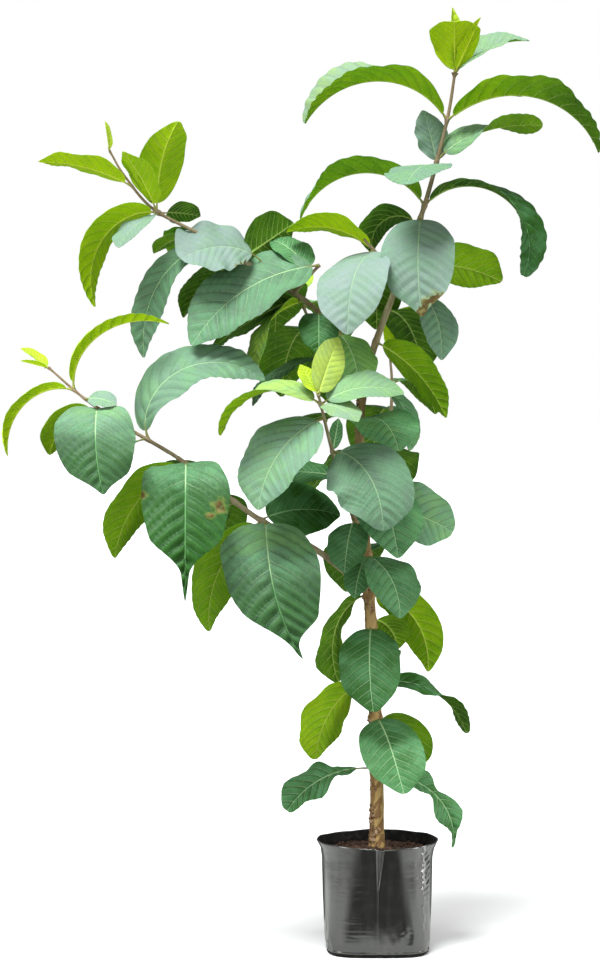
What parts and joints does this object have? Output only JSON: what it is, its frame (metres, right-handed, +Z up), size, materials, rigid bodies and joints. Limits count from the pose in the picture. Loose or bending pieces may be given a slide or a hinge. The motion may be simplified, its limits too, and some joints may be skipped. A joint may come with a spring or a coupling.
{
  "type": "potted guava tree",
  "caption": "Young guava tree with an upright leader, long left-hand shoots and broad arching leaves, rooted in soil in a soft black nursery grow bag.",
  "frame": {"origin": "middle of the grow bag's flat underside", "axes": "+Z up along the plant, +X to the tree's right as seen from the front, and -Y to the front"},
  "size_m": [0.585, 0.3234, 0.9418],
  "materials": {
    "film": "thin glossy black polythene film, softly wrinkled, with a pleat at the front",
    "soil": "matt crumbly red-brown earth",
    "bark": "smooth tan bark with thin peeling red-brown flakes, greyer and greener on the young shoots",
    "leaf": "satin blue-green top with sunken pale veins, yellow-green underside",
    "young_leaf": "satin bright yellow-green, the tip leaves the palest"
  },
  "bodies": {
    "root": {"back_left_bough": "bark", "back_left_spray": "leaf", "back_right_bough": "bark", "back_right_spray": "leaf", "grow_bag": "film", "leader_spray": "young_leaf", "long_left_bough": "bark", "long_left_spray": "leaf", "middle_front_bough": "bark", "middle_front_leaf_01": "leaf", "middle_front_spray": "leaf", "soil": "soil", "trunk": "bark", "trunk_leaf_01": "leaf", "trunk_leaf_02": "leaf", "trunk_leaf_03": "leaf", "trunk_leaf_04": "leaf", "trunk_leaf_05": "leaf", "trunk_leaf_06": "leaf", "trunk_leaf_07": "leaf", "trunk_leaf_08": "leaf", "trunk_leaf_09": "leaf", "trunk_leaf_10": "leaf", "trunk_leaf_11": "leaf", "trunk_leaf_12": "leaf", "trunk_leaf_13": "leaf", "trunk_leaf_14": "leaf", "trunk_leaf_15": "leaf", "trunk_leaf_16": "leaf", "trunk_leaf_17": "leaf", "trunk_leaf_18": "leaf", "trunk_leaf_19": "leaf", "upper_left_bough": "bark", "upper_left_leaf_01": "leaf", "upper_left_leaf_02": "leaf", "upper_left_spray": "leaf"}
  },
  "joints": []
}
